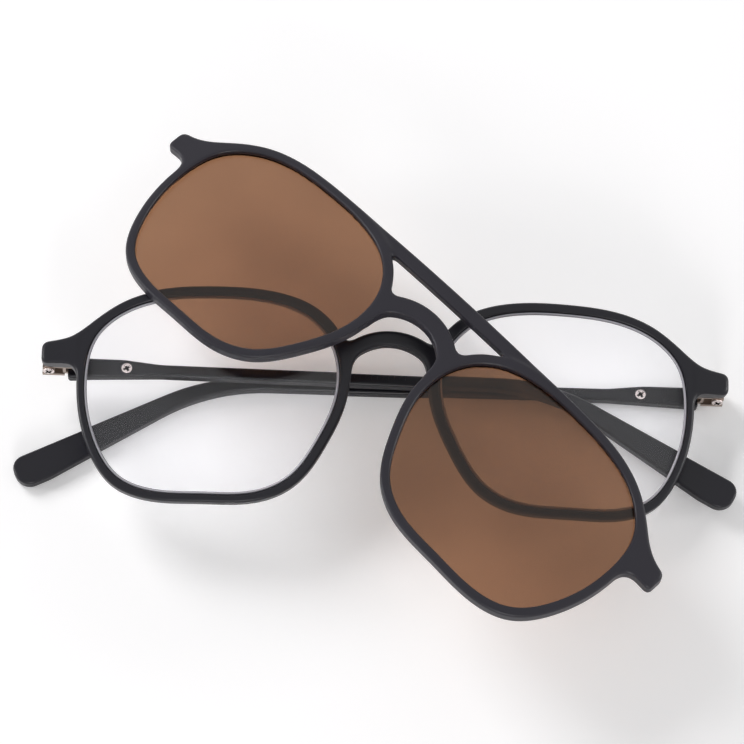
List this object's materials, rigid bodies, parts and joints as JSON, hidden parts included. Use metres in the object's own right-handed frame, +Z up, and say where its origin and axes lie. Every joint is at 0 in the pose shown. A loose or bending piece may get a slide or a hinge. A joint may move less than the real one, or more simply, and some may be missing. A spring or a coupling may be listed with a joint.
{
  "type": "eyeglasses with magnetic sun clip",
  "caption": "Folded eyeglasses with hinged temples, and a magnetic sun clip with tinted lenses that lies across the front and lifts off.",
  "frame": {"origin": "on the surface the glasses lie on, under the middle of their bounding box", "axes": "+X across the front to the wearer's left, +Y from the lower rims to the bridge, +Z up from the surface"},
  "size_m": [0.1396, 0.1022, 0.0267],
  "materials": {
    "frame_plastic": "matte",
    "clip_plastic": "matte",
    "clear_lens": "polished",
    "brown_lens": "polished",
    "magnet": "plated",
    "hinge_metal": "satin",
    "screw_metal": "polished"
  },
  "bodies": {
    "front": {"front_frame": "frame_plastic", "lens_right": "clear_lens", "lens_left": "clear_lens", "magnet_right": "magnet", "magnet_left": "magnet", "front_leaf_right": "hinge_metal", "front_leaf_left": "hinge_metal", "hinge_screw_right": "screw_metal", "hinge_screw_left": "screw_metal"},
    "temple_right": {"temple_right": "frame_plastic", "temple_leaf_right": "hinge_metal", "temple_screw_right": "screw_metal"},
    "temple_left": {"temple_left": "frame_plastic", "temple_leaf_left": "hinge_metal", "temple_screw_left": "screw_metal"},
    "clip": {"clip_frame": "clip_plastic", "clip_lens_right": "brown_lens", "clip_lens_left": "brown_lens", "clip_magnet_right": "magnet", "clip_magnet_left": "magnet"}
  },
  "joints": [
    {"name": "temple_right_hinge", "type": "hinge", "parent": "front", "child": "temple_right", "pos_m": [-0.06358, 0.00351, 0.00928], "axis": [0, 1, 0], "range_deg": [0, 93]},
    {"name": "temple_left_hinge", "type": "hinge", "parent": "front", "child": "temple_left", "pos_m": [0.0667, 0.00351, 0.0037], "axis": [0, -1, 0], "range_deg": [0, 89.5]},
    {"name": "clip_lift", "type": "slide", "parent": "front", "child": "clip", "axis": [0.0004, 0.0528, 0.9986], "range_m": [0, 0.06]}
  ]
}
